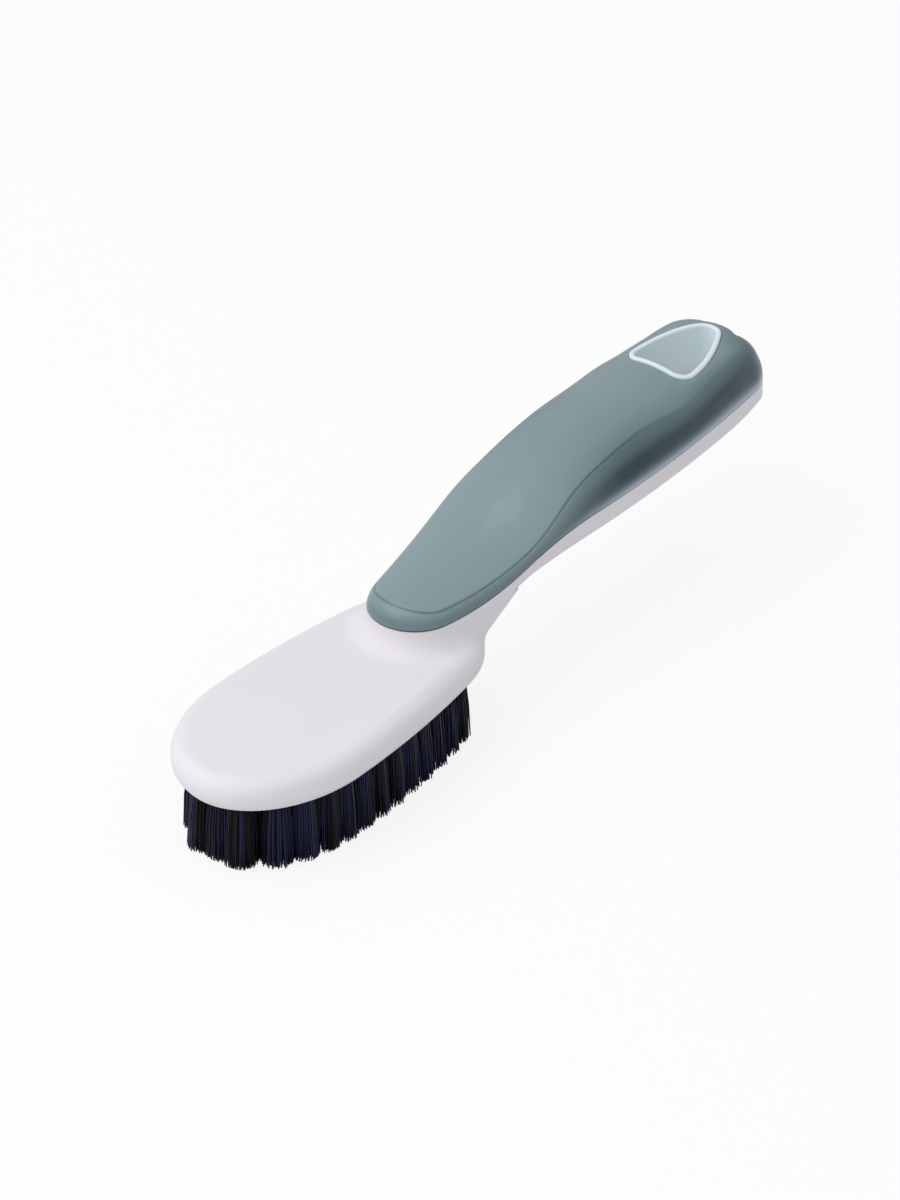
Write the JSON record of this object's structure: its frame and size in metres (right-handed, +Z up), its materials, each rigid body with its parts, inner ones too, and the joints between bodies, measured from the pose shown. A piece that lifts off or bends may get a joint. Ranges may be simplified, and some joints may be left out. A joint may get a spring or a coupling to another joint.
{
  "type": "shoe brush",
  "caption": "Shoe shine brush with an oval white head of short dark bristle tufts and an upswept hollow handle closed by a smooth grey grip with a D-shaped hanging hole.",
  "frame": {"origin": "on the ground under the middle of the overall length, with the brush standing on its bristle tips", "axes": "+X from the head towards the handle's tail, +Y across the brush, +Z up from the bristles to the grip"},
  "size_m": [0.2262, 0.0514, 0.0603],
  "materials": {
    "white_plastic": "satin",
    "grey_plastic": "glossy",
    "bristle": "bristle",
    "staple_metal": "plain"
  },
  "bodies": {
    "root": {"brush_back": "white_plastic", "grip_cover": "grey_plastic", "tuft_row_01": "bristle", "tuft_row_02": "bristle", "tuft_row_03": "bristle", "tuft_row_04": "bristle", "tuft_row_05": "bristle", "tuft_row_06": "bristle", "tuft_row_07": "bristle", "tuft_row_08": "bristle", "tuft_row_09": "bristle", "tuft_row_10": "bristle", "tuft_row_11": "bristle", "tuft_row_12": "bristle", "tuft_row_13": "bristle", "tuft_row_14": "bristle", "anchor_row_01": "staple_metal", "anchor_row_02": "staple_metal", "anchor_row_03": "staple_metal", "anchor_row_04": "staple_metal", "anchor_row_05": "staple_metal", "anchor_row_06": "staple_metal", "anchor_row_07": "staple_metal", "anchor_row_08": "staple_metal", "anchor_row_09": "staple_metal", "anchor_row_10": "staple_metal", "anchor_row_11": "staple_metal", "anchor_row_12": "staple_metal", "anchor_row_13": "staple_metal", "anchor_row_14": "staple_metal"}
  },
  "joints": []
}
